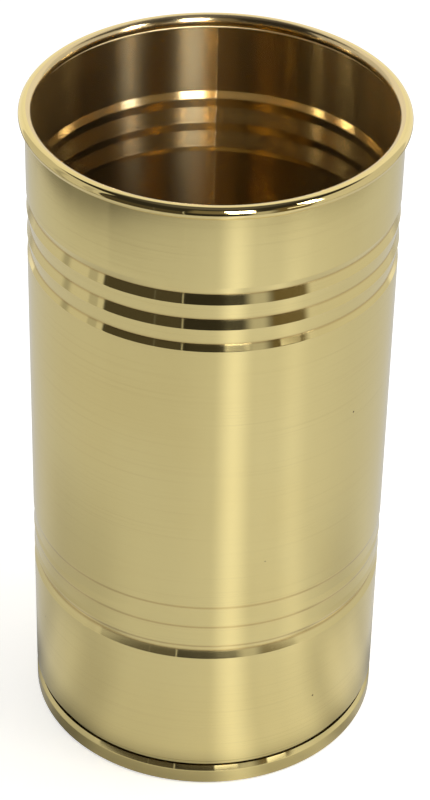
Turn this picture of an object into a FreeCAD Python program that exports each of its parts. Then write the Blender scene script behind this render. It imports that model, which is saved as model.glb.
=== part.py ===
"""Brass umbrella stand: a sheet brass body with pressed rings, a slit-tube rim and a base pan."""
import FreeCAD, Part
import math
import os

# ---- Overall sizes (mm) ----
body_diameter = 235.0        # outside of the plain wall
stand_height = 460.0         # floor to the top of the rim
sheet_thickness = 0.9        # body sheet

# ---- Rim: a brass tube, slit underneath, pushed down over the raw top edge ----
rim_tube_diameter = 8.6
rim_tube_wall = 0.8
rim_slit_clearance = 0.05    # each side of the sheet in the slit
rim_edge_gap = 0.15          # above the sheet's edge, inside the tube's bore
rim_solder_width = 0.95      # run of solder under the rim, on the inside: how far it stands off the wall
rim_solder_height = 1.3      # how far it reaches down the wall from the tube's slit

# ---- Upper rings: three grooves rolled into the sheet ----
upper_rings_below_top = 57.2
upper_ring_count = 3
upper_ring_depth = 1.7
upper_entry_height = 5.1     # top edge of the first groove to its floor
upper_fall_height = 11.15    # crest to the floor of the next groove
upper_rise_height = 6.9      # groove floor to the crest below
upper_exit_height = 4.6      # last groove floor to the plain wall

# ---- Lower rings: two faint swages, then one full groove ----
lower_rings_above_floor = 111.8
lower_groove_depth = 2.05
lower_groove_exit_height = 5.85
lower_groove_entry_height = 6.3
swage_count = 2
swage_step_depth = 0.32       # crisp step in at the top of a swage
swage_step_height = 2.8
swage_depth = 0.5
swage_fall_height = 9.2       # step to the swage's floor
swage_rise_height = 4.4       # floor to the crest below

ring_bend_radius = 0.5       # inside bend of every crest and groove floor
swage_bend_radius = 3.0       # inside bend of the swages' soft corners

# ---- Neck: the lower end of the body is drawn in to stand inside the base pan ----
neck_depth = 2.55
neck_reveal = 3.2            # neck left showing between the pan's edge and the shoulder
neck_shoulder_height = 2.4
neck_bend_radius = 0.4

# ---- Base pan: flat floor, upright lip flush with the body, lip's top leaning in to the neck ----
pan_thickness = 0.9
pan_lip_height = 11.2        # floor to where the lip starts to lean in
pan_lean_angle = 25.0        # degrees off upright
pan_lean_bend_radius = 1.0   # inside bend where the lean starts
pan_corner_radius = 1.2      # inside bend between the floor and the lip
pan_neck_clearance = 0.05

# ---- Seam and base solder ----
seam_width = 0.8             # brazed butt joint down the back of the body
base_solder_leg = 2.2        # fillet between the pan's floor and the neck, inside

# ---- Derived places ----
body_radius = body_diameter / 2
body_sheet_middle = body_radius - sheet_thickness / 2
rim_tube_radius = rim_tube_diameter / 2
rim_centre_height = stand_height - rim_tube_radius
rim_bore_radius = rim_tube_radius - rim_tube_wall
body_top = rim_centre_height + rim_bore_radius - rim_edge_gap
neck_radius = body_radius - neck_depth
pan_lean = math.radians(pan_lean_angle)
pan_lean_inset = neck_depth - pan_neck_clearance - pan_thickness * math.cos(pan_lean)
pan_lean_top = pan_lip_height + pan_lean_inset / math.tan(pan_lean)
neck_shoulder_bottom = pan_lean_top + neck_reveal
neck_shoulder_top = neck_shoulder_bottom + neck_shoulder_height
seam_angle = math.degrees(seam_width / body_radius)


def point(radius, height):
    """A point of a section, in the XZ plane."""
    return FreeCAD.Vector(radius, 0, height)


def offset_corners(corners, thickness):
    """Corners of the line that runs beside a path, on its right, one sheet thickness away."""
    sides = []
    for start, end in zip(corners, corners[1:]):
        run = (end[0] - start[0], end[1] - start[1])
        length = math.hypot(*run)
        shift = (run[1] / length * thickness, -run[0] / length * thickness)
        sides.append(((start[0] + shift[0], start[1] + shift[1]), run))
    beside = [sides[0][0]]
    for (first, along), (second, across) in zip(sides, sides[1:]):
        turn = along[0] * across[1] - along[1] * across[0]
        reach = ((second[0] - first[0]) * across[1] - (second[1] - first[1]) * across[0]) / turn
        beside.append((first[0] + along[0] * reach, first[1] + along[1] * reach))
    last, run = sides[-1]
    beside.append((last[0] + run[0], last[1] + run[1]))
    return beside


def rounded_line(corners, radii):
    """Edges along the corners, each inner corner rounded with its own radius."""
    edges = []
    here = point(*corners[0])
    for before, corner, after, radius in zip(corners, corners[1:], corners[2:], radii):
        middle = point(*corner)
        back = (point(*before) - middle).normalize()
        ahead = (point(*after) - middle).normalize()
        half = back.getAngle(ahead) / 2
        reach = radius / math.tan(half)
        start = middle + back * reach
        end = middle + ahead * reach
        crown = middle + (back + ahead).normalize() * (radius / math.sin(half) - radius)
        edges.append(Part.makeLine(here, start))
        edges.append(Part.Arc(start, crown, end).toShape())
        here = end
    edges.append(Part.makeLine(here, point(*corners[-1])))
    return edges


def sheet_section(corners, bends, thickness):
    """Section of a bent sheet: its outer side follows the corners, the metal lies on the right."""
    outer_radii = []
    inner_radii = []
    for before, corner, after, bend in zip(corners, corners[1:], corners[2:], bends):
        turn = ((corner[0] - before[0]) * (after[1] - corner[1])
                - (corner[1] - before[1]) * (after[0] - corner[0]))
        outer_radii.append(bend + thickness if turn < 0 else bend)
        inner_radii.append(bend if turn < 0 else bend + thickness)
    beside = offset_corners(corners, thickness)
    edges = rounded_line(corners, outer_radii)
    edges.append(Part.makeLine(point(*corners[-1]), point(*beside[-1])))
    edges.extend(rounded_line(beside, inner_radii))
    edges.append(Part.makeLine(point(*beside[0]), point(*corners[0])))
    return Part.Face(Part.Wire(Part.__sortEdges__(edges)))


def closed_section(edges):
    """A face from a loop of edges."""
    return Part.Face(Part.Wire(Part.__sortEdges__(edges)))


def turned(section, angle=360.0):
    """The solid that a section sweeps about the stand's axis, from the +X side."""
    return section.revolve(FreeCAD.Vector(0, 0, 0), FreeCAD.Vector(0, 0, 1), angle)


def upper_ring_corners():
    """Corners of the three upper grooves, from the top down, with their bend radii."""
    height = stand_height - upper_rings_below_top
    corners = [(body_radius, height, ring_bend_radius)]
    height -= upper_entry_height
    for ring in range(upper_ring_count):
        last = ring == upper_ring_count - 1
        corners.append((body_radius - upper_ring_depth, height, ring_bend_radius))
        height -= upper_exit_height if last else upper_rise_height
        corners.append((body_radius, height, ring_bend_radius))
        height -= upper_fall_height
    return corners


def lower_ring_corners():
    """Corners of the faint swages and the full groove below them, with their bend radii."""
    groove_floor = lower_rings_above_floor + lower_groove_exit_height
    swages_bottom = groove_floor + lower_groove_entry_height
    height = swages_bottom + swage_count * (swage_step_height + swage_fall_height + swage_rise_height)
    corners = [(body_radius, height, ring_bend_radius)]
    for _ in range(swage_count):
        height -= swage_step_height
        corners.append((body_radius - swage_step_depth, height, swage_bend_radius))
        height -= swage_fall_height
        corners.append((body_radius - swage_depth, height, swage_bend_radius))
        height -= swage_rise_height
        corners.append((body_radius, height, ring_bend_radius))
    corners.append((body_radius - lower_groove_depth, groove_floor, ring_bend_radius))
    corners.append((body_radius, lower_rings_above_floor, ring_bend_radius))
    return corners


def body_section():
    """Section of the body sheet, from its edge inside the rim to its edge on the pan's floor."""
    neck = [(body_radius, neck_shoulder_top, neck_bend_radius),
            (neck_radius, neck_shoulder_bottom, neck_bend_radius)]
    bends = upper_ring_corners() + lower_ring_corners() + neck
    corners = [(body_radius, body_top)]
    corners += [(radius, height) for radius, height, _ in bends]
    corners.append((neck_radius, pan_thickness))
    return sheet_section(corners, [bend for _, _, bend in bends], sheet_thickness)


def make_body_shell():
    """The rolled sheet, open by the seam's width at the back."""
    shell = turned(body_section(), 360.0 - seam_angle)
    shell.rotate(FreeCAD.Vector(0, 0, 0), FreeCAD.Vector(0, 0, 1), 90.0 + seam_angle / 2)
    return shell


def make_side_seam():
    """The strip of brazing metal that closes the body at the back."""
    seam = turned(body_section(), seam_angle)
    seam.rotate(FreeCAD.Vector(0, 0, 0), FreeCAD.Vector(0, 0, 1), 90.0 - seam_angle / 2)
    return seam


def rim_arc(radius, half_slit):
    """An arc of the rim tube's section, from one side of its slit over the top to the other."""
    drop = math.sqrt(radius ** 2 - half_slit ** 2)
    low = rim_centre_height - drop
    outside = point(body_sheet_middle + half_slit, low)
    inside = point(body_sheet_middle - half_slit, low)
    top = point(body_sheet_middle, rim_centre_height + radius)
    return outside, inside, Part.Arc(outside, top, inside).toShape()


def make_rim_tube():
    """The rim: a ring of tube with a slit underneath for the body's edge."""
    half_slit = sheet_thickness / 2 + rim_slit_clearance
    outer_right, outer_left, outer_arc = rim_arc(rim_tube_radius, half_slit)
    bore_right, bore_left, bore_arc = rim_arc(rim_bore_radius, half_slit)
    lips = [Part.makeLine(outer_right, bore_right), Part.makeLine(outer_left, bore_left)]
    return turned(closed_section([outer_arc, bore_arc] + lips))


def under_rim(inset):
    """The point of the rim tube's underside that lies so far inward of the sheet's middle."""
    drop = math.sqrt(rim_tube_radius ** 2 - inset ** 2)
    return point(body_sheet_middle - inset, rim_centre_height - drop)


def make_rim_solder():
    """The run of solder in the corner under the rim, inside the stand."""
    wall = body_radius - sheet_thickness
    slit_edge = under_rim(sheet_thickness / 2 + rim_slit_clearance)
    top = slit_edge.z
    low = top - rim_solder_height
    corners = [
        point(wall, top),
        slit_edge,
        under_rim(sheet_thickness / 2 + rim_solder_width * 0.75),
        point(wall - rim_solder_width, top - rim_solder_height * 0.3),
        point(wall - rim_solder_width, top - rim_solder_height * 0.6),
        point(wall - rim_solder_width * 0.55, top - rim_solder_height * 0.9),
        point(wall, low),
    ]
    return turned(Part.Face(Part.makePolygon(corners + corners[:1])))


def make_base_pan():
    """The pan: a flat disc and an upright lip whose top leans in to meet the neck."""
    corners = [
        (body_radius - pan_lean_inset, pan_lean_top),
        (body_radius, pan_lip_height),
        (body_radius, 0),
        (0, 0),
    ]
    return turned(sheet_section(corners, [pan_lean_bend_radius, pan_corner_radius], pan_thickness))


def make_base_solder():
    """The fillet of solder that seals the neck to the pan's floor, inside the stand."""
    wall = neck_radius - sheet_thickness
    corners = [
        point(wall, pan_thickness),
        point(wall, pan_thickness + base_solder_leg),
        point(wall - base_solder_leg, pan_thickness),
    ]
    return turned(Part.Face(Part.makePolygon(corners + corners[:1])))


def main():
    """Build every piece and write one STEP file for each."""
    os.makedirs("parts", exist_ok=True)
    pieces = {
        "body_shell": make_body_shell(),
        "side_seam": make_side_seam(),
        "rim_tube": make_rim_tube(),
        "rim_solder": make_rim_solder(),
        "base_pan": make_base_pan(),
        "base_solder": make_base_solder(),
    }
    for name, shape in pieces.items():
        box = shape.BoundBox
        shape.exportStep(f"parts/{name}.step")
        print(f"{name}: {len(shape.Solids)} solid, {shape.Volume:.1f} mm3, valid {shape.isValid()}, "
              f"z {box.ZMin:.2f} to {box.ZMax:.2f}, width {box.XLength:.2f}")


main()
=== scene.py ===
"""Looks of a sheet brass umbrella stand: lathe-turned pieces, polished metal and a plain studio."""
import logging
import math
from dataclasses import dataclass, field
from enum import Enum

import bpy
from mathutils import Matrix, Vector


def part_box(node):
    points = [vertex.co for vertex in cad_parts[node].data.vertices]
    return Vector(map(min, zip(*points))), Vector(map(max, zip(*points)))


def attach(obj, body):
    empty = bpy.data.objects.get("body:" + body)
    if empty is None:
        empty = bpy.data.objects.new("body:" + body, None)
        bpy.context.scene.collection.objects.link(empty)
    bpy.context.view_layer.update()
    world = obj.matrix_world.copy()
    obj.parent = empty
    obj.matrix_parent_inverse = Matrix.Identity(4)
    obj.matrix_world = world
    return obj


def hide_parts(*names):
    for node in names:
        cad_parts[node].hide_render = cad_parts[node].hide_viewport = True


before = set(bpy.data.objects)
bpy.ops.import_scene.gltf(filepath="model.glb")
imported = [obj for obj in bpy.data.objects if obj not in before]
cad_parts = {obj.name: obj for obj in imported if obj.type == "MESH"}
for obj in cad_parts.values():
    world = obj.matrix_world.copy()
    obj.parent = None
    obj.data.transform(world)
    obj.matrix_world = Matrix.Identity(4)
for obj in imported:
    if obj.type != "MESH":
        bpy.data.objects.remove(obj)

LOG = logging.getLogger("umbrella_stand")
MM = 0.001
FULL_TURN = math.tau
SMOOTH_ANGLE = math.radians(32.0)
MERGE_DISTANCE = 0.002 * MM
TURN_STEPS = 288
BRAZE_STEPS = 4
# Bands of painted shade: their spread, and how far down a swage's step each sits, as a share of the step.
SHADE_BAND_SPREAD = 1.6 * MM
SHADE_BAND_BELOW_CREST = 0.6

Point = tuple[float, float]
Colour = tuple[float, float, float]


# ---------------------------------------------------------------------------
# Outlines: points of a section, each as (radius from the axis, height), in metres
# ---------------------------------------------------------------------------


@dataclass(frozen=True)
class Bend:
    """One corner of a sheet's outer side, with the inside radius that it is bent to."""

    radius: float
    height: float
    bend: float = 0.0


def beside(corners: list[Point], gap: float) -> list[Point]:
    """The line that runs along a path at an even distance, on its right.

    Args:
        corners: the path's corners, in order.
        gap: the distance between the two lines.

    Returns:
        As many corners as the path has.
    """
    sides: list[tuple[Point, Point]] = []
    for start, end in zip(corners, corners[1:]):
        run = (end[0] - start[0], end[1] - start[1])
        length = math.hypot(*run)
        sides.append(((start[0] + run[1] / length * gap, start[1] - run[0] / length * gap), run))
    line = [sides[0][0]]
    for (first, along), (second, across) in zip(sides, sides[1:]):
        turn = along[0] * across[1] - along[1] * across[0]
        reach = ((second[0] - first[0]) * across[1] - (second[1] - first[1]) * across[0]) / turn
        line.append((first[0] + along[0] * reach, first[1] + along[1] * reach))
    last, run = sides[-1]
    line.append((last[0] + run[0], last[1] + run[1]))
    return line


def rounded(corners: list[Point], radii: list[float], steps: int) -> list[Point]:
    """A path whose inner corners are replaced with arcs.

    Args:
        corners: the path's corners, its two ends included.
        radii: a radius for each inner corner.
        steps: spans in each arc.

    Returns:
        The path's points, in order.
    """
    line = [corners[0]]
    for before, corner, after, radius in zip(corners, corners[1:], corners[2:], radii):
        middle = Vector(corner)
        back = (Vector(before) - middle).normalized()
        ahead = (Vector(after) - middle).normalized()
        half = back.angle(ahead) / 2
        reach = radius / math.tan(half)
        centre = middle + (back + ahead).normalized() * (radius / math.sin(half))
        first = middle + back * reach - centre
        turn = (middle + ahead * reach - centre).angle_signed(first)
        for step in range(steps + 1):
            spoke = first.copy()
            spoke.rotate(Matrix.Rotation(turn * step / steps, 2))
            line.append(tuple(centre + spoke))
    line.append(corners[-1])
    return line


def divided(line: list[Point], longest: float) -> list[Point]:
    """Add points to a line so that no span is too long.

    Args:
        line: the line's points, in order.
        longest: the longest span left.

    Returns:
        The same line with its added points.
    """
    points = [line[0]]
    for start, end in zip(line, line[1:]):
        spans = max(1, math.ceil(math.dist(start, end) / longest))
        for span in range(1, spans + 1):
            share = span / spans
            points.append((start[0] + (end[0] - start[0]) * share, start[1] + (end[1] - start[1]) * share))
    return points


def sheet_outline(bends: list[Bend], thickness: float, longest: float, steps: int = 5) -> list[Point]:
    """Outline of a bent sheet, round its outer side and back along its inner side.

    Args:
        bends: corners of the outer side, in order. The metal lies on the right.
        thickness: the sheet's thickness.
        longest: the longest span left on a straight stretch.
        steps: spans in each bend.

    Returns:
        The outline's points. The last one joins the first.
    """
    corners = [(bend.radius, bend.height) for bend in bends]
    outer_radii: list[float] = []
    inner_radii: list[float] = []
    for before, corner, after, bend in zip(corners, corners[1:], corners[2:], bends[1:]):
        along = (corner[0] - before[0], corner[1] - before[1])
        turn = along[0] * (after[1] - corner[1]) - along[1] * (after[0] - corner[0])
        outer_radii.append(bend.bend + (thickness if turn < 0 else 0.0))
        inner_radii.append(bend.bend + (0.0 if turn < 0 else thickness))
    outer = divided(rounded(corners, outer_radii, steps), longest)
    inner = divided(rounded(beside(corners, thickness), inner_radii, steps), longest)
    return outer + inner[::-1]


# ---------------------------------------------------------------------------
# Turning outlines into meshes
# ---------------------------------------------------------------------------


def clear_selection() -> None:
    """Leave object mode with nothing selected."""
    if bpy.context.mode != "OBJECT":
        bpy.ops.object.mode_set(mode="OBJECT")
    bpy.ops.object.select_all(action="DESELECT")


def draw_outline(name: str, points: list[Point], closed: bool, turn: float = 0.0) -> bpy.types.Object:
    """Draw an outline as a chain of edges, extruded point by point from a plane's merged corner.

    Args:
        name: name of the new piece.
        points: the outline, as (radius, height).
        closed: whether the last point joins the first.
        turn: angle of the outline's plane about the stand's axis, from +X.

    Returns:
        The piece, still in edit mode with all of it selected.
    """
    clear_selection()
    across, along = math.cos(turn), math.sin(turn)
    places = [Vector((radius * across, radius * along, height)) for radius, height in points]
    bpy.ops.mesh.primitive_plane_add(size=MM, location=(0.0, 0.0, 0.0))
    piece = bpy.context.active_object
    piece.name = name
    piece.data.name = name
    bpy.ops.object.mode_set(mode="EDIT")
    bpy.ops.mesh.select_all(action="SELECT")
    bpy.ops.mesh.merge(type="CENTER")
    bpy.ops.transform.translate(value=places[0])
    for start, end in zip(places, places[1:]):
        bpy.ops.mesh.extrude_region_move(TRANSFORM_OT_translate={"value": end - start})
    bpy.ops.mesh.select_all(action="SELECT")
    if closed:
        bpy.ops.object.mode_set(mode="OBJECT")
        for vertex in piece.data.vertices:
            vertex.select = vertex.index in (0, len(places) - 1)
        for edge in piece.data.edges:
            edge.select = False
        bpy.ops.object.mode_set(mode="EDIT")
        bpy.ops.mesh.edge_face_add()
        bpy.ops.mesh.select_all(action="SELECT")
    return piece


def finish_mesh(piece: bpy.types.Object) -> bpy.types.Object:
    """Merge doubled points, turn the faces outwards and smooth all but the sharp edges.

    Args:
        piece: the piece, in edit mode.

    Returns:
        The same piece, in object mode.
    """
    bpy.ops.mesh.select_all(action="SELECT")
    bpy.ops.mesh.remove_doubles(threshold=MERGE_DISTANCE)
    bpy.ops.mesh.normals_make_consistent(inside=False)
    bpy.ops.object.mode_set(mode="OBJECT")
    bpy.ops.object.shade_smooth_by_angle(angle=SMOOTH_ANGLE)
    return piece


def turn_ring(name: str, points: list[Point], closed: bool = True) -> bpy.types.Object:
    """Turn an outline all the way round the stand's axis.

    Args:
        name: name of the new piece.
        points: the outline, as (radius, height).
        closed: whether the last point joins the first.

    Returns:
        The finished piece.
    """
    piece = draw_outline(name, points, closed)
    bpy.ops.mesh.spin(steps=TURN_STEPS, angle=FULL_TURN, center=(0, 0, 0), axis=(0, 0, 1))
    return finish_mesh(piece)


def turn_slice(name: str, points: list[Point], start: float, sweep: float, steps: int) -> bpy.types.Object:
    """Turn a closed outline part of the way round and close both of its ends.

    Args:
        name: name of the new piece.
        points: the outline, as (radius, height).
        start: angle of the first end, from +X.
        sweep: angle between the two ends.
        steps: spans along the sweep.

    Returns:
        The finished piece.
    """
    piece = draw_outline(name, points, True, start)
    bpy.ops.mesh.edge_face_add()
    bpy.ops.mesh.spin(steps=steps, angle=sweep, center=(0, 0, 0), axis=(0, 0, -1))
    return finish_mesh(piece)


# ---------------------------------------------------------------------------
# Node helpers
# ---------------------------------------------------------------------------


class Tree:
    """A node tree that is filled by plain calls."""

    def __init__(self, tree: bpy.types.NodeTree) -> None:
        self.tree = tree

    def add(self, kind: str, **settings: object) -> bpy.types.Node:
        """Make a node.

        Args:
            kind: the node's type name.
            settings: properties to set, by name.

        Returns:
            The new node.
        """
        node = self.tree.nodes.new(kind)
        for name, value in settings.items():
            setattr(node, name, value)
        return node

    def link(self, source: bpy.types.NodeSocket, target: bpy.types.NodeSocket) -> None:
        """Join two sockets."""
        self.tree.links.new(source, target)

    def feed(self, target: bpy.types.NodeSocket, value: object) -> None:
        """Give a socket a link or a plain value.

        Args:
            target: the input to feed.
            value: another socket, or a value for the input itself.
        """
        if isinstance(value, bpy.types.NodeSocket):
            self.link(value, target)
        else:
            target.default_value = value

    def math(self, operation: str, *values: object, clamp: bool = False) -> bpy.types.NodeSocket:
        """Work something out with a Math node.

        Args:
            operation: the node's operation.
            values: sockets or numbers for its inputs, in order.
            clamp: whether the result is held between 0 and 1.

        Returns:
            The node's result.
        """
        node = self.add("ShaderNodeMath", operation=operation, use_clamp=clamp)
        for socket, value in zip(node.inputs, values):
            self.feed(socket, value)
        return node.outputs[0]

    def ramp(self, value: object, low: object, high: object, to_low: float = 0.0,
             to_high: float = 1.0) -> bpy.types.NodeSocket:
        """Map a value smoothly from one range to another, held at both ends.

        Args:
            value: what is mapped.
            low: the value that gives to_low.
            high: the value that gives to_high.
            to_low: one end of the result.
            to_high: its other end.

        Returns:
            The mapped value.
        """
        node = self.add("ShaderNodeMapRange", interpolation_type="SMOOTHSTEP")
        for name, item in (("Value", value), ("From Min", low), ("From Max", high),
                           ("To Min", to_low), ("To Max", to_high)):
            self.feed(node.inputs[name], item)
        return node.outputs["Result"]

    def mix(self, share: object, first: object, second: object) -> bpy.types.NodeSocket:
        """Mix two colours.

        Args:
            share: how much of the second colour there is.
            first: a socket, or a colour.
            second: a socket, or a colour.

        Returns:
            The mixed colour.
        """
        node = self.add("ShaderNodeMix", data_type="RGBA", blend_type="MIX")
        self.feed(node.inputs[0], share)
        for socket, value in ((node.inputs[6], first), (node.inputs[7], second)):
            self.feed(socket, (*value, 1.0) if isinstance(value, tuple) and len(value) == 3 else value)
        return node.outputs[2]

    def noise(self, vector: object, scale: float, detail: float = 3.0,
              rough: float = 0.5) -> bpy.types.NodeSocket:
        """Read a noise texture.

        Args:
            vector: where it is read.
            scale: how fine it is.
            detail: how many finer layers it has.
            rough: how strong the finer layers are.

        Returns:
            The noise, from 0 to 1.
        """
        node = self.add("ShaderNodeTexNoise")
        self.feed(node.inputs["Vector"], vector)
        node.inputs["Scale"].default_value = scale
        node.inputs["Detail"].default_value = detail
        node.inputs["Roughness"].default_value = rough
        return node.outputs["Fac"]

    def scaled(self, vector: bpy.types.NodeSocket, scale: Colour, shift: Colour = (0.0, 0.0, 0.0)
               ) -> bpy.types.NodeSocket:
        """Stretch and move a vector with a Mapping node.

        Args:
            vector: the vector.
            scale: how far each part is stretched.
            shift: how far each part is moved.

        Returns:
            The changed vector.
        """
        node = self.add("ShaderNodeMapping")
        self.link(vector, node.inputs["Vector"])
        node.inputs["Scale"].default_value = scale
        node.inputs["Location"].default_value = shift
        return node.outputs["Vector"]


class EffectGroup(Tree):
    """A shader node group with named inputs and outputs, read by the object's own coordinates."""

    def __init__(self, name: str, inputs: dict[str, float], outputs: tuple[str, ...]) -> None:
        """Make the group, with its sockets.

        Args:
            name: the group's name.
            inputs: each input's name and first value.
            outputs: each output's name.
        """
        super().__init__(bpy.data.node_groups.new(name, "ShaderNodeTree"))
        for label, value in inputs.items():
            socket = self.tree.interface.new_socket(name=label, in_out="INPUT", socket_type="NodeSocketFloat")
            socket.default_value = value
        for label in outputs:
            self.tree.interface.new_socket(name=label, in_out="OUTPUT", socket_type="NodeSocketFloat")
        self.given = self.add("NodeGroupInput").outputs
        self.result = self.add("NodeGroupOutput").inputs
        self.place = self.add("ShaderNodeTexCoord").outputs["Object"]


def polish_lines() -> bpy.types.NodeTree:
    """Fine lines left round the stand by a polishing wheel, uneven in depth from place to place.

    Returns:
        The group.
    """
    group = EffectGroup("polish_lines", {"Pitch": 1100.0, "Unevenness": 0.6}, ("Height", "Lines"))
    fine = group.add("ShaderNodeTexNoise")
    spread = group.scaled(group.place, (7.0, 7.0, 1.0))
    parts = group.add("ShaderNodeSeparateXYZ")
    group.link(spread, parts.inputs[0])
    joined = group.add("ShaderNodeCombineXYZ")
    group.link(parts.outputs["X"], joined.inputs["X"])
    group.link(parts.outputs["Y"], joined.inputs["Y"])
    group.link(group.math("MULTIPLY", parts.outputs["Z"], group.given["Pitch"]), joined.inputs["Z"])
    group.link(joined.outputs[0], fine.inputs["Vector"])
    fine.inputs["Scale"].default_value = 1.0
    fine.inputs["Detail"].default_value = 5.0
    fine.inputs["Roughness"].default_value = 0.62
    patches = group.ramp(group.noise(group.scaled(group.place, (6.0, 6.0, 16.0)), 1.0), 0.35, 0.7)
    strength = group.math("SUBTRACT", 1.0, group.math("MULTIPLY", group.given["Unevenness"], patches))
    group.link(group.math("MULTIPLY", fine.outputs["Fac"], strength), group.result["Height"])
    group.link(group.ramp(fine.outputs["Fac"], 0.5, 0.75), group.result["Lines"])
    return group.tree


def cloudiness() -> bpy.types.NodeTree:
    """Soft clouds of slightly duller and warmer metal, and the wide ripple of a hand-rolled sheet.

    Returns:
        The group.
    """
    group = EffectGroup("cloudiness", {"Size": 1.0}, ("Clouds", "Ripple", "Drift"))
    sized = group.add("ShaderNodeVectorMath", operation="SCALE")
    group.link(group.place, sized.inputs[0])
    group.link(group.given["Size"], sized.inputs["Scale"])
    base = sized.outputs[0]
    clouds = group.noise(group.scaled(base, (10.0, 10.0, 6.0)), 1.0, 5.0, 0.6)
    group.link(group.ramp(clouds, 0.38, 0.72), group.result["Clouds"])
    ripple = group.noise(group.scaled(base, (15.0, 15.0, 11.0), (3.1, 0.4, 7.7)), 1.0, 1.5)
    group.link(ripple, group.result["Ripple"])
    drift = group.noise(group.scaled(base, (3.5, 3.5, 6.0), (9.0, 2.0, 5.0)), 1.0, 2.0)
    group.link(group.ramp(drift, 0.3, 0.7), group.result["Drift"])
    return group.tree


def specks() -> bpy.types.NodeTree:
    """Few tiny dark pits and specks, scattered over the metal.

    Returns:
        The group.
    """
    group = EffectGroup("specks", {"Density": 55.0, "Spot size": 0.05, "Share": 0.12}, ("Specks",))
    cells = group.add("ShaderNodeTexVoronoi")
    group.link(group.place, cells.inputs["Vector"])
    group.link(group.given["Density"], cells.inputs["Scale"])
    dot = group.ramp(cells.outputs["Distance"], group.given["Spot size"],
                     group.math("MULTIPLY", group.given["Spot size"], 0.45))
    tone = group.add("ShaderNodeSeparateColor")
    group.link(cells.outputs["Color"], tone.inputs[0])
    kept = group.math("LESS_THAN", tone.outputs[0], group.given["Share"])
    group.link(group.math("MULTIPLY", dot, kept), group.result["Specks"])
    return group.tree


def height_band() -> bpy.types.NodeTree:
    """How near the metal is to a height on the stand, from 1 at it to 0 a spread away.

    Returns:
        The group.
    """
    group = EffectGroup("height_band", {"Height": 0.1, "Spread": 0.01}, ("Near",))
    parts = group.add("ShaderNodeSeparateXYZ")
    group.link(group.place, parts.inputs[0])
    away = group.math("ABSOLUTE", group.math("SUBTRACT", parts.outputs["Z"], group.given["Height"]))
    group.link(group.ramp(away, group.given["Spread"], 0.0), group.result["Near"])
    return group.tree


def inner_side() -> bpy.types.NodeTree:
    """Whether a surface faces the stand's axis: 1 on the inner side of the metal, 0 elsewhere.

    Returns:
        The group.
    """
    group = EffectGroup("inner_side", {"Lean": -0.1}, ("Inside",))
    flat = group.scaled(group.place, (1.0, 1.0, 0.0))
    away = group.add("ShaderNodeVectorMath", operation="NORMALIZE")
    group.link(flat, away.inputs[0])
    facing = group.add("ShaderNodeVectorMath", operation="DOT_PRODUCT")
    group.link(away.outputs[0], facing.inputs[0])
    group.link(group.add("ShaderNodeTexCoord").outputs["Normal"], facing.inputs[1])
    group.link(group.math("LESS_THAN", facing.outputs["Value"], group.given["Lean"]), group.result["Inside"])
    return group.tree


class Effects:
    """The shared effects, each built once."""

    def __init__(self) -> None:
        self.lines = polish_lines()
        self.clouds = cloudiness()
        self.specks = specks()
        self.band = height_band()
        self.inside = inner_side()


# ---------------------------------------------------------------------------
# Finishes
# ---------------------------------------------------------------------------


class Grain(Enum):
    """Which way the polishing lines run on a piece."""

    ROUND = "round the stand"
    NONE = "no set direction"


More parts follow.
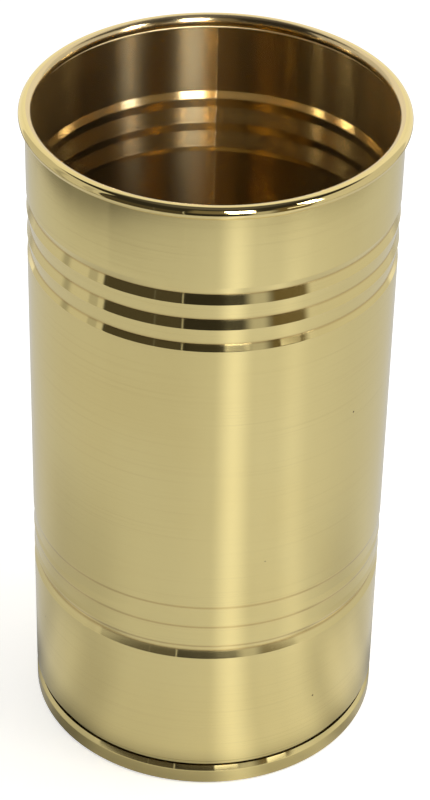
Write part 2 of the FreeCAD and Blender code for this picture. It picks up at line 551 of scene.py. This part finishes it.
@dataclass(frozen=True)
class MetalFinish:
    """A metal surface: its colours, how it was polished and how it has aged, and bands of painted shade at
    given heights.
    """

    name: str
    colour: Colour
    warm: Colour
    tarnish_and_shade: Colour
    roughness: float
    roughness_spread: float = 0.02
    anisotropy: float = 1.0
    grain: Grain = Grain.ROUND
    line_pitch: float = 1100.0
    line_depth: float = 0.0018 * MM
    ripple_depth: float = 0.10 * MM
    speck_share: float = 0.1
    # Heights, each with its spread, where a band of painted shade darkens the metal and makes it rougher.
    shade_band_heights: tuple[tuple[float, float], ...] = ()
    shade_band_strength: float = 0.5
    # Darker, less saturated colour painted on the inner side as shade.
    inner_shaded_colour: Colour = (0.79, 0.63, 0.35)
    inner_roughness: float = 0.11
    cloud_share: float = 0.4
    drift_share: float = 0.35
    line_tarnish: float = 0.12
    speck_colour: Colour = (0.10, 0.07, 0.03)
    speck_roughness: float = 0.3
    speck_depth: float = 0.01 * MM
    shade_band_roughness: float = 0.12

    def material(self, effects: Effects) -> bpy.types.Material:
        """Build the node material.

        Args:
            effects: the shared node groups.

        Returns:
            The material, ready to be put in a slot.
        """
        material = bpy.data.materials.new(self.name)
        material.use_nodes = True
        tree = Tree(material.node_tree)
        material.node_tree.nodes.clear()
        shader = tree.add("ShaderNodeBsdfPrincipled")
        output = tree.add("ShaderNodeOutputMaterial")
        tree.link(shader.outputs[0], output.inputs["Surface"])
        lines = self.effect(tree, effects.lines, {"Pitch": self.line_pitch})
        clouds = self.effect(tree, effects.clouds, {})
        spots = self.effect(tree, effects.specks, {"Share": self.speck_share})
        painted_shade = self.painted_shade(tree, effects)

        tone = tree.mix(tree.math("MULTIPLY", clouds["Clouds"], self.cloud_share), self.colour, self.warm)
        tone = tree.mix(tree.math("MULTIPLY", clouds["Drift"], self.drift_share), tone, self.warm)
        inside = self.effect(tree, effects.inside, {})["Inside"]
        # Painted shade: the inner side is given a darker, less saturated colour than the outside.
        tone = tree.mix(inside, tone, self.inner_shaded_colour)
        tone = tree.mix(tree.math("MULTIPLY", lines["Lines"], self.line_tarnish), tone, self.tarnish_and_shade)
        # Painted shade: the metal is mixed towards the tarnish colour in bands at the listed heights.
        tone = tree.mix(painted_shade, tone, self.tarnish_and_shade)
        tone = tree.mix(spots["Specks"], tone, self.speck_colour)
        tree.link(tone, shader.inputs["Base Color"])

        rough = tree.math("MULTIPLY_ADD", clouds["Clouds"], self.roughness_spread, self.roughness)
        rough = tree.math("MULTIPLY_ADD", lines["Lines"], self.roughness_spread * 0.5, rough)
        rough = tree.math("MULTIPLY_ADD", painted_shade, self.shade_band_roughness, rough)
        rough = tree.math("MULTIPLY_ADD", inside, self.inner_roughness, rough)
        rough = tree.math("MULTIPLY_ADD", spots["Specks"], self.speck_roughness, rough, clamp=True)
        tree.link(rough, shader.inputs["Roughness"])

        height = tree.math("MULTIPLY", clouds["Ripple"], self.ripple_depth)
        height = tree.math("MULTIPLY_ADD", lines["Height"], self.line_depth, height)
        height = tree.math("MULTIPLY_ADD", spots["Specks"], -self.speck_depth, height)
        bump = tree.add("ShaderNodeBump")
        bump.inputs["Distance"].default_value = 1.0
        tree.link(height, bump.inputs["Height"])
        tree.link(bump.outputs["Normal"], shader.inputs["Normal"])

        shader.inputs["Metallic"].default_value = 1.0
        shader.inputs["Anisotropic"].default_value = self.anisotropy
        if self.grain is Grain.ROUND:
            tangent = tree.add("ShaderNodeTangent", direction_type="RADIAL", axis="Z")
            tree.link(tangent.outputs[0], shader.inputs["Tangent"])
            shader.inputs["Anisotropic Rotation"].default_value = 0.25
        return material

    def effect(self, tree: Tree, group: bpy.types.NodeTree, values: dict[str, float]
               ) -> dict[str, bpy.types.NodeSocket]:
        """Place a shared group with this finish's own values.

        Args:
            tree: the material's nodes.
            group: the shared group.
            values: values for its inputs, by name.

        Returns:
            The group's outputs, by name.
        """
        node = tree.add("ShaderNodeGroup", node_tree=group)
        for label, value in values.items():
            node.inputs[label].default_value = value
        return {socket.name: socket for socket in node.outputs}

    def painted_shade(self, tree: Tree, effects: Effects) -> bpy.types.NodeSocket:
        """How much painted shade darkens the metal, near each of the listed heights.

        Args:
            tree: the material's nodes.
            effects: the shared node groups.

        Returns:
            The share of painted shade, from 0 to 1.
        """
        total: object = 0.0
        for height, spread in self.shade_band_heights:
            near = self.effect(tree, effects.band, {"Height": height, "Spread": spread})["Near"]
            total = tree.math("MULTIPLY_ADD", near, self.shade_band_strength, total, clamp=True)
        return tree.math("ADD", total, 0.0)


# ---------------------------------------------------------------------------
# The stand
# ---------------------------------------------------------------------------


@dataclass
class BodySheet:
    """The rolled sheet with its pressed rings, and the braze that closes it at the back."""

    thickness: float = 0.9 * MM
    upper_rings_below_top: float = 57.2 * MM
    upper_ring_count: int = 3
    upper_ring_depth: float = 1.7 * MM
    upper_entry: float = 5.1 * MM
    upper_fall: float = 11.15 * MM
    upper_rise: float = 6.9 * MM
    upper_exit: float = 4.6 * MM
    lower_rings_height: float = 111.8 * MM
    lower_depth: float = 2.05 * MM
    lower_exit: float = 5.85 * MM
    lower_entry: float = 6.3 * MM
    swage_count: int = 2
    swage_step_depth: float = 0.32 * MM
    swage_step: float = 2.8 * MM
    swage_depth: float = 0.5 * MM
    swage_fall: float = 9.2 * MM
    swage_rise: float = 4.4 * MM
    ring_bend: float = 0.5 * MM
    swage_bend: float = 3.0 * MM
    neck_depth: float = 2.55 * MM
    neck_reveal: float = 3.2 * MM
    shoulder_height: float = 2.4 * MM
    neck_bend: float = 0.4 * MM
    seam_width: float = 0.8 * MM
    seam_crown: float = 0.01 * MM
    longest_span: float = 9.0 * MM
    low: Vector = field(init=False)
    high: Vector = field(init=False)
    stand_top: float = field(init=False)
    pan_top: float = field(init=False)

    def __post_init__(self) -> None:
        """Take the sheet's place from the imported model."""
        self.low, self.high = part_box("body_shell")
        self.stand_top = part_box("rim_tube")[1].z
        self.pan_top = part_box("base_pan")[1].z

    @property
    def radius(self) -> float:
        """Outside radius of the plain wall."""
        return (self.high.x - self.low.x) / 2

    def upper_rings(self) -> list[Bend]:
        """Corners of the upper grooves.

        Returns:
            The corners, from the top down.
        """
        height = self.stand_top - self.upper_rings_below_top
        bends = [Bend(self.radius, height, self.ring_bend)]
        height -= self.upper_entry
        for ring in range(self.upper_ring_count):
            bends.append(Bend(self.radius - self.upper_ring_depth, height, self.ring_bend))
            height -= self.upper_exit if ring == self.upper_ring_count - 1 else self.upper_rise
            bends.append(Bend(self.radius, height, self.ring_bend))
            height -= self.upper_fall
        return bends

    def lower_rings(self) -> list[Bend]:
        """Corners of the two faint swages and of the full groove under them.

        Returns:
            The corners, from the top down.
        """
        groove_floor = self.lower_rings_height + self.lower_exit
        pitch = self.swage_step + self.swage_fall + self.swage_rise
        height = groove_floor + self.lower_entry + self.swage_count * pitch
        bends = [Bend(self.radius, height, self.ring_bend)]
        for _ in range(self.swage_count):
            height -= self.swage_step
            bends.append(Bend(self.radius - self.swage_step_depth, height, self.swage_bend))
            height -= self.swage_fall
            bends.append(Bend(self.radius - self.swage_depth, height, self.swage_bend))
            height -= self.swage_rise
            bends.append(Bend(self.radius, height, self.ring_bend))
        bends.append(Bend(self.radius - self.lower_depth, groove_floor, self.ring_bend))
        bends.append(Bend(self.radius, self.lower_rings_height, self.ring_bend))
        return bends

    def outline(self, proud: float = 0.0) -> list[Point]:
        """The sheet's section, thickened evenly where it should stand proud.

        Args:
            proud: how far each side is moved out.

        Returns:
            The outline's points.
        """
        neck = self.radius - self.neck_depth
        shoulder_low = self.pan_top + self.neck_reveal
        bends = [Bend(self.radius, self.high.z)]
        bends += self.upper_rings() + self.lower_rings()
        bends.append(Bend(self.radius, shoulder_low + self.shoulder_height, self.neck_bend))
        bends.append(Bend(neck, shoulder_low, self.neck_bend))
        bends.append(Bend(neck, self.low.z))
        moved = [Bend(bend.radius + proud, bend.height, bend.bend) for bend in bends]
        return sheet_outline(moved, self.thickness + 2 * proud, self.longest_span)

    def build(self) -> list[bpy.types.Object]:
        """Make the sheet, open by the seam's width at the back, and the braze in its gap.

        Returns:
            The two pieces.
        """
        seam = self.seam_width / self.radius
        quarter = FULL_TURN / 4
        sheet = turn_slice("body_sheet", self.outline(), quarter + seam / 2, FULL_TURN - seam, TURN_STEPS)
        braze = turn_slice("seam_braze", self.outline(self.seam_crown), quarter - seam / 2, seam, BRAZE_STEPS)
        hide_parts("body_shell")
        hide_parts("side_seam")
        return [sheet, braze]


@dataclass
class Rim:
    """The slit tube over the sheet's top edge, and the run of solder under it."""

    tube_wall: float = 0.8 * MM
    slit_clearance: float = 0.05 * MM
    sheet: float = 0.9 * MM
    tube_steps: int = 44
    solder_radius: float = 0.72 * MM
    solder_inset: float = 0.35
    solder_drop: float = 0.75
    solder_swell: float = 0.18 * MM
    solder_waves: tuple[tuple[int, float], ...] = ((7, 0.4), (17, 2.1), (41, 0.9), (83, 3.3))
    solder_steps: int = 14

    def build(self) -> list[bpy.types.Object]:
        """Make the tube and the solder.

        Returns:
            The two pieces.
        """
        low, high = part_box("rim_tube")
        sheet_middle = (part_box("body_shell")[1].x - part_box("body_shell")[0].x) / 2 - self.sheet / 2
        radius = (high.x - low.x) / 2 - sheet_middle
        centre = high.z - radius
        tube = turn_ring("rim_bead", self.tube_outline(sheet_middle, centre, radius))
        solder = self.make_solder(sheet_middle, centre, radius)
        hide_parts("rim_tube")
        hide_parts("rim_solder")
        return [tube, solder]

    def tube_outline(self, middle: float, centre: float, radius: float) -> list[Point]:
        """Section of the tube: its outside from one side of the slit to the other, and its bore back.

        Args:
            middle: distance from the stand's axis to the tube's.
            centre: height of the tube's axis.
            radius: the tube's outside radius.

        Returns:
            The outline's points.
        """
        half_slit = self.sheet / 2 + self.slit_clearance
        points: list[Point] = []
        for reach, way in ((radius, 1), (radius - self.tube_wall, -1)):
            gap = math.asin(half_slit / reach)
            for step in range(self.tube_steps + 1):
                share = step / self.tube_steps if way == 1 else 1 - step / self.tube_steps
                angle = -FULL_TURN / 4 + gap + (FULL_TURN - 2 * gap) * share
                points.append((middle + reach * math.cos(angle), centre + reach * math.sin(angle)))
        return points

    def make_solder(self, middle: float, centre: float, radius: float) -> bpy.types.Object:
        """The run of solder, thicker and thinner along its length as a hand-run joint is.

        Args:
            middle: distance from the stand's axis to the tube's.
            centre: height of the tube's axis.
            radius: the tube's outside radius.

        Returns:
            The finished piece.
        """
        run_radius = middle - self.sheet / 2 - self.solder_radius * self.solder_inset
        height = centre - radius - self.solder_radius * self.solder_drop
        points = [(run_radius + self.solder_radius * math.cos(FULL_TURN * step / self.solder_steps),
                   height + self.solder_radius * math.sin(FULL_TURN * step / self.solder_steps))
                  for step in range(self.solder_steps)]
        solder = turn_ring("rim_solder_run", points)
        for vertex in solder.data.vertices:
            angle = math.atan2(vertex.co.y, vertex.co.x)
            swell = sum(math.sin(count * angle + phase) for count, phase in self.solder_waves)
            swell *= self.solder_swell / self.solder_radius / len(self.solder_waves)
            core = Vector((run_radius * math.cos(angle), run_radius * math.sin(angle), height))
            vertex.co = core + (vertex.co - core) * (1 + swell)
        return solder


@dataclass
class BasePan:
    """The pressed pan under the body, and the fillet of solder that holds it.

    Known fault: the pan's outline is left unjoined at the lip, so the thin edge at the top of the
    lip is open and the pan's upper skin has its faces turned into the metal. The outline should
    start and end on the axis instead.
    """

    thickness: float = 0.9 * MM
    lip_height: float = 11.2 * MM
    lean_angle: float = math.radians(25.0)
    lean_bend: float = 1.0 * MM
    corner_bend: float = 1.2 * MM
    neck_depth: float = 2.55 * MM
    neck_clearance: float = 0.05 * MM
    sheet: float = 0.9 * MM
    solder_leg: float = 2.2 * MM
    fillet_steps: int = 6
    longest_span: float = 9.0 * MM

    def build(self) -> list[bpy.types.Object]:
        """Make the pan and its solder.

        Returns:
            The two pieces.
        """
        low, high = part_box("base_pan")
        radius = (high.x - low.x) / 2
        inset = self.neck_depth - self.neck_clearance - self.thickness * math.cos(self.lean_angle)
        bends = [Bend(radius - inset, high.z), Bend(radius, low.z + self.lip_height, self.lean_bend),
                 Bend(radius, low.z, self.corner_bend), Bend(0.0, low.z)]
        pan = turn_ring("base_dish", sheet_outline(bends, self.thickness, self.longest_span), closed=False)
        solder = turn_ring("base_solder_run", self.fillet(radius, low.z + self.thickness))
        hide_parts("base_pan")
        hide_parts("base_solder")
        return [pan, solder]

    def fillet(self, radius: float, floor: float) -> list[Point]:
        """Section of the solder: square against the neck and the pan's floor, hollow inside.

        Args:
            radius: the pan's outside radius.
            floor: height of the pan's floor.

        Returns:
            The outline's points.
        """
        wall = radius - self.neck_depth - self.sheet
        hollow: list[Point] = []
        for step in range(self.fillet_steps + 1):
            angle = FULL_TURN / 4 * step / self.fillet_steps
            hollow.append((wall - self.solder_leg * (1 - math.sin(angle)),
                           floor + self.solder_leg * (1 - math.cos(angle))))
        return [(wall, floor)] + hollow[::-1]


# ---------------------------------------------------------------------------
# Studio
# ---------------------------------------------------------------------------


@dataclass(frozen=True)
class Card:
    """A soft bright or dim part of the surroundings. Azimuth 0 is the camera's side, 90 is +X."""

    azimuth: float
    half_width: float
    low: float
    high: float
    level: float
    soft: float = 4.0
    tint: Colour = (1.0, 0.98, 0.94)


@dataclass(frozen=True)
class FloorPatch:
    """A brighter or darker wedge of light on the floor, from the stand outwards.

    It fades in between the distances near and far, where near may be the greater of the two.
    """

    azimuth: float
    half_width: float
    level: float
    soft: float
    near: float = 0.0
    far: float = 0.001


@dataclass(frozen=True)
class SoftBox:
    """A rectangular light that faces the stand."""

    name: str
    azimuth: float
    elevation: float
    distance: float
    width: float
    height: float
    radiance: float
    shows_in_metal: bool
    lights_floor: bool


@dataclass
class Studio:
    """Floor, surroundings, lights and camera."""

    floor_width: float = 1.60
    floor_depth: float = 1.73
    floor_shift: float = 0.02
    floor_tone: Colour = (0.80, 0.80, 0.79)
    floor_grain_tone: Colour = (0.74, 0.73, 0.70)
    floor_grain: float = 0.06
    floor_lift: float = 0.62
    floor_glow: float = 0.455
    floor_shade: Colour = (0.20, 0.20, 0.20)
    patches: tuple[FloorPatch, ...] = (
        FloorPatch(36.0, 34.0, 0.10, 26.0),
        FloorPatch(13.5, 3.0, 0.30, 9.0),
        FloorPatch(48.0, 3.0, 0.09, 9.0),
        FloorPatch(-76.0, 26.0, -0.09, 16.0, 0.45, 0.30),
        FloorPatch(20.0, 6.0, -0.03, 8.0, 0.40, 0.25),
        FloorPatch(78.0, 16.0, -0.12, 16.0, 0.42, 0.25),
        FloorPatch(54.0, 7.0, -0.10, 9.0, 0.26, 0.18),
        FloorPatch(78.0, 12.0, 0.18, 8.0, 0.26, 0.18),
        FloorPatch(-78.0, 12.0, 0.13, 8.0, 0.26, 0.18),
        FloorPatch(-50.0, 5.0, -0.05, 8.0, 0.26, 0.18),
        # Painted shadow: a dark ring on the floor as the metal reflects it, close round the foot.
        FloorPatch(0.0, 180.0, -0.26, 1.0, 0.155, 0.121),
    )
    room: Colour = (0.030, 0.027, 0.022)
    ceiling: Colour = (0.12, 0.115, 0.12)
    ceiling_edge: tuple[float, float] = (58.0, 80.0)
    backdrop_white: float = 1.1
    cards: tuple[Card, ...] = (
        Card(180.0, 62.0, -25.0, 63.0, 0.95, 6.0),
        Card(-98.0, 34.0, -30.0, 42.0, 0.62, 1.0),
        Card(-71.5, 3.2, -30.0, 26.0, 0.46, 0.8),
        Card(-93.0, 3.0, -30.0, 26.0, 0.40, 2.4),
        Card(-40.0, 23.0, -30.0, 18.0, 0.07, 1.0, (1.0, 0.86, 0.62)),
        Card(91.0, 38.0, -30.0, 40.0, 0.66, 2.0),
        Card(45.0, 11.0, -30.0, 30.0, 0.15, 3.0, (1.0, 0.78, 0.42)),
        Card(27.0, 6.0, -30.0, 14.0, 0.50, 4.0),
        Card(-16.0, 0.4, -30.0, 20.0, 0.45, 0.3),
        Card(-32.0, 0.3, -30.0, 16.0, 0.14, 0.3),
        Card(4.0, 17.0, 7.0, 52.0, 0.19, 3.0, (1.0, 0.86, 0.60)),
        Card(15.0, 7.0, 5.0, 12.0, 1.9, 0.7),
        Card(46.0, 6.0, 1.3, 9.0, 1.7, 0.7),
    )
    boxes: tuple[SoftBox, ...] = (
        SoftBox("key", 15.0, 30.0, 2.2, 0.50, 1.1, 26.0, True, False),
        SoftBox("side", 56.0, 30.0, 2.2, 0.30, 1.1, 20.0, True, False),
        SoftBox("table_light", 85.0, 63.0, 2.7, 1.6, 1.6, 3.4, False, True),
        SoftBox("overhead_fill", 0.0, 90.0, 3.0, 3.0, 3.0, 0.45, False, True),
    )
    light_aim: Vector = field(default_factory=lambda: Vector((0.0, 0.0, 0.25)))
    camera_place: Vector = field(default_factory=lambda: Vector((0.0, -1.4681, 1.3093)))
    camera_pitch: float = 0.6314419
    camera_yaw: float = 0.0020673
    camera_roll: float = 0.0224471
    lens: float = 123.87
    sensor: float = 36.0

    def build(self) -> None:
        """Make all of it."""
        self.make_camera()
        self.make_floor()
        self.make_surroundings()
        for box in self.boxes:
            self.make_light(box)

    def make_camera(self) -> None:
        """Set the camera above and in front of the stand, looking down at it."""
        data = bpy.data.cameras.new("camera")
        data.lens = self.lens
        data.sensor_width = self.sensor
        data.clip_start = 0.05
        camera = bpy.data.objects.new("camera", data)
        bpy.context.scene.collection.objects.link(camera)
        ahead = Vector((0.0, math.cos(self.camera_pitch), -math.sin(self.camera_pitch)))
        right = Vector((1.0, 0.0, 0.0))
        up = right.cross(ahead)
        aim = ahead * math.cos(self.camera_yaw) + right * math.sin(self.camera_yaw)
        side = right * math.cos(self.camera_yaw) - ahead * math.sin(self.camera_yaw)
        across = side * math.cos(self.camera_roll) + up * math.sin(self.camera_roll)
        top = up * math.cos(self.camera_roll) - side * math.sin(self.camera_roll)
        turn = Matrix((across, top, -aim)).transposed()
        camera.matrix_world = Matrix.Translation(self.camera_place) @ turn.to_4x4()
        bpy.context.scene.camera = camera

    def make_floor(self) -> None:
        """A round pale table top, lifted towards white where the camera sees it."""
        clear_selection()
        bpy.ops.mesh.primitive_circle_add(vertices=180, radius=0.5, fill_type="NGON")
        floor = bpy.context.active_object
        floor.name = "floor"
        bpy.ops.object.mode_set(mode="EDIT")
        bpy.ops.transform.resize(value=(self.floor_width, self.floor_depth, 1.0))
        bpy.ops.transform.translate(value=(self.floor_shift, 0.0, 0.0))
        bpy.ops.object.mode_set(mode="OBJECT")
        material = bpy.data.materials.new("pale_floor")
        material.use_nodes = True
        tree = Tree(material.node_tree)
        material.node_tree.nodes.clear()
        paper = tree.add("ShaderNodeBsdfDiffuse")
        place = tree.add("ShaderNodeTexCoord").outputs["Object"]
        grain = tree.ramp(tree.noise(place, 14.0, 4.0), 0.3, 0.7, 0.0, self.floor_grain)
        tree.link(tree.mix(grain, self.floor_tone, self.floor_grain_tone), paper.inputs["Color"])
        lift = tree.add("ShaderNodeEmission")
        lift.inputs["Strength"].default_value = self.floor_lift
        lifted = tree.add("ShaderNodeAddShader")
        tree.link(paper.outputs[0], lifted.inputs[0])
        tree.link(lift.outputs[0], lifted.inputs[1])
        choice = tree.add("ShaderNodeMixShader")
        tree.link(tree.add("ShaderNodeLightPath").outputs["Is Camera Ray"], choice.inputs[0])
        tree.link(self.lit_floor(tree, place), choice.inputs[1])
        tree.link(lifted.outputs[0], choice.inputs[2])
        tree.link(choice.outputs[0], tree.add("ShaderNodeOutputMaterial").inputs["Surface"])
        floor.data.materials.append(material)

    def lit_floor(self, tree: Tree, place: bpy.types.NodeSocket) -> bpy.types.NodeSocket:
        """The floor as the metal reflects it: evenly lit, with soft wedges of light.

        Args:
            tree: the floor material's nodes.
            place: the floor's own coordinates.

        Returns:
            The floor's shader.
        """
        parts = tree.add("ShaderNodeSeparateXYZ")
        tree.link(place, parts.inputs[0])
        east, north, _ = parts.outputs
        azimuth = tree.math("DEGREES", tree.math("ARCTAN2", east, tree.math("MULTIPLY", north, -1.0)))
        length = tree.add("ShaderNodeVectorMath", operation="LENGTH")
        tree.link(place, length.inputs[0])
        level: object = self.floor_glow
        for patch in self.patches:
            off = tree.math("ABSOLUTE", tree.math("SUBTRACT", azimuth, patch.azimuth))
            core = max(patch.half_width - patch.soft, 0.0)
            share = tree.ramp(off, patch.half_width + patch.soft, core)
            share = tree.math("MULTIPLY", share, tree.ramp(length.outputs["Value"], patch.near, patch.far))
            level = tree.math("MULTIPLY_ADD", share, patch.level, level)
        shade = tree.add("ShaderNodeBsdfDiffuse")
        shade.inputs["Color"].default_value = (*self.floor_shade, 1.0)
        glow = tree.add("ShaderNodeEmission")
        tree.link(level, glow.inputs["Strength"])
        both = tree.add("ShaderNodeAddShader")
        tree.link(shade.outputs[0], both.inputs[0])
        tree.link(glow.outputs[0], both.inputs[1])
        return both.outputs[0]

    def make_surroundings(self) -> None:
        """A dim room with pale cards and a bright backdrop, and plain white behind the stand."""
        world = bpy.data.worlds.new("studio")
        world.use_nodes = True
        bpy.context.scene.world = world
        tree = Tree(world.node_tree)
        world.node_tree.nodes.clear()
        parts = tree.add("ShaderNodeSeparateXYZ")
        tree.link(tree.add("ShaderNodeTexCoord").outputs["Generated"], parts.inputs[0])
        east, north, up = parts.outputs
        azimuth = tree.math("DEGREES", tree.math("ARCTAN2", east, tree.math("MULTIPLY", north, -1.0)))
        elevation = tree.math("DEGREES", tree.math("ARCSINE", up))
        colour = tree.mix(tree.ramp(elevation, *self.ceiling_edge), self.room, self.ceiling)
        for card in self.cards:
            colour = self.add_card(tree, card, azimuth, elevation, colour)
        seen = tree.add("ShaderNodeBackground")
        tree.link(colour, seen.inputs["Color"])
        white = tree.add("ShaderNodeBackground")
        white.inputs["Strength"].default_value = self.backdrop_white
        white.inputs["Color"].default_value = (1.0, 1.0, 1.0, 1.0)
        choice = tree.add("ShaderNodeMixShader")
        tree.link(tree.add("ShaderNodeLightPath").outputs["Is Camera Ray"], choice.inputs[0])
        tree.link(seen.outputs[0], choice.inputs[1])
        tree.link(white.outputs[0], choice.inputs[2])
        tree.link(choice.outputs[0], tree.add("ShaderNodeOutputWorld").inputs["Surface"])

    def add_card(self, tree: Tree, card: Card, azimuth: bpy.types.NodeSocket, elevation: bpy.types.NodeSocket,
                 colour: bpy.types.NodeSocket) -> bpy.types.NodeSocket:
        """Lay one card over the surroundings.

        Args:
            tree: the world's nodes.
            card: the card.
            azimuth: the direction's azimuth, in degrees.
            elevation: the direction's elevation, in degrees.
            colour: what is there without the card.

        Returns:
            The colour with the card.
        """
        off = tree.math("SUBTRACT", azimuth, card.azimuth)
        off = tree.math("ABSOLUTE", tree.math("WRAP", off, 180.0, -180.0))
        wide = tree.ramp(off, card.half_width + card.soft, card.half_width - card.soft)
        above = tree.ramp(elevation, card.low - card.soft, card.low + card.soft)
        below = tree.ramp(elevation, card.high + card.soft, card.high - card.soft)
        share = tree.math("MULTIPLY", tree.math("MULTIPLY", above, below), wide)
        return tree.mix(share, colour, tuple(part * card.level for part in card.tint))

    def make_light(self, box: SoftBox) -> None:
        """Hang one soft box so that it faces the middle of the stand.

        Args:
            box: the soft box.
        """
        azimuth, elevation = math.radians(box.azimuth), math.radians(box.elevation)
        level = math.cos(elevation)
        away = Vector((math.sin(azimuth) * level, -math.cos(azimuth) * level, math.sin(elevation)))
        data = bpy.data.lights.new(box.name, "AREA")
        data.shape = "RECTANGLE"
        data.size = box.width
        data.size_y = box.height
        data.energy = box.radiance * math.pi * box.width * box.height
        light = bpy.data.objects.new(box.name, data)
        bpy.context.scene.collection.objects.link(light)
        light.location = away * box.distance + self.light_aim
        light.rotation_mode = "QUATERNION"
        light.rotation_quaternion = away.to_track_quat("Z", "Y")
        light.visible_glossy = box.shows_in_metal
        light.visible_diffuse = box.lights_floor


# ---------------------------------------------------------------------------
# Putting it together
# ---------------------------------------------------------------------------


def finishes(body: BodySheet) -> dict[str, MetalFinish]:
    """The finish of every piece.

    Args:
        body: the body, whose ring heights say where the bands of painted shade go.

    Returns:
        A finish for each piece's name.
    """
    brass: Colour = (0.865, 0.733, 0.343)
    warm: Colour = (0.83, 0.675, 0.285)
    tarnish_and_shade: Colour = (0.50, 0.33, 0.12)
    # Painted shade: dark bands at the groove floors and partway down each swage's step.
    grooves = [bend.height for bend in body.upper_rings()[1::2]]
    grooves.append(body.lower_rings()[-2].height)
    steps = [bend.height - body.swage_step * SHADE_BAND_BELOW_CREST for bend in body.lower_rings()[:-2:3]]
    painted_shade = tuple((height, SHADE_BAND_SPREAD) for height in grooves + steps)
    sheet = MetalFinish("sheet_brass", brass, warm, tarnish_and_shade, 0.07, shade_band_heights=painted_shade)
    return {
        "body_sheet": sheet,
        "seam_braze": MetalFinish("braze_metal", (0.86, 0.735, 0.37), (0.82, 0.67, 0.30), tarnish_and_shade, 0.14),
        "rim_bead": MetalFinish("rim_brass", (0.87, 0.72, 0.34), warm, tarnish_and_shade, 0.06, anisotropy=0.9,
                                line_depth=0.002 * MM, ripple_depth=0.05 * MM),
        "rim_solder_run": MetalFinish("soft_solder", (0.70, 0.64, 0.50), (0.60, 0.52, 0.38),
                                      (0.22, 0.17, 0.10), 0.34, 0.12, 0.0, Grain.NONE, 300.0,
                                      0.02 * MM, 0.08 * MM),
        # Painted shade: a dark band along the pan's bottom edge, next to the floor.
        "base_dish": MetalFinish("pan_brass", brass, warm, tarnish_and_shade, 0.07,
                                 shade_band_heights=((0.0, 1.5 * MM),)),
        "base_solder_run": MetalFinish("base_solder", (0.55, 0.50, 0.40), (0.45, 0.38, 0.27),
                                       (0.2, 0.15, 0.09), 0.42, 0.12, 0.0, Grain.NONE, 300.0,
                                       0.02 * MM, 0.08 * MM),
    }


def main() -> None:
    """Build the studio and the stand, and report each piece."""
    logging.basicConfig(level=logging.INFO, format="%(name)s: %(message)s")
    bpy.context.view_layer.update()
    bpy.context.scene.view_settings.view_transform = "Standard"
    Studio().build()
    effects = Effects()
    body = BodySheet()
    coats = finishes(body)
    for assembly in (body, Rim(), BasePan()):
        for piece in assembly.build():
            piece.data.materials.append(coats[piece.name].material(effects))
            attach(piece, "root")
            LOG.info("%s: %d faces", piece.name, len(piece.data.polygons))


if __name__ == "__main__":
    main()
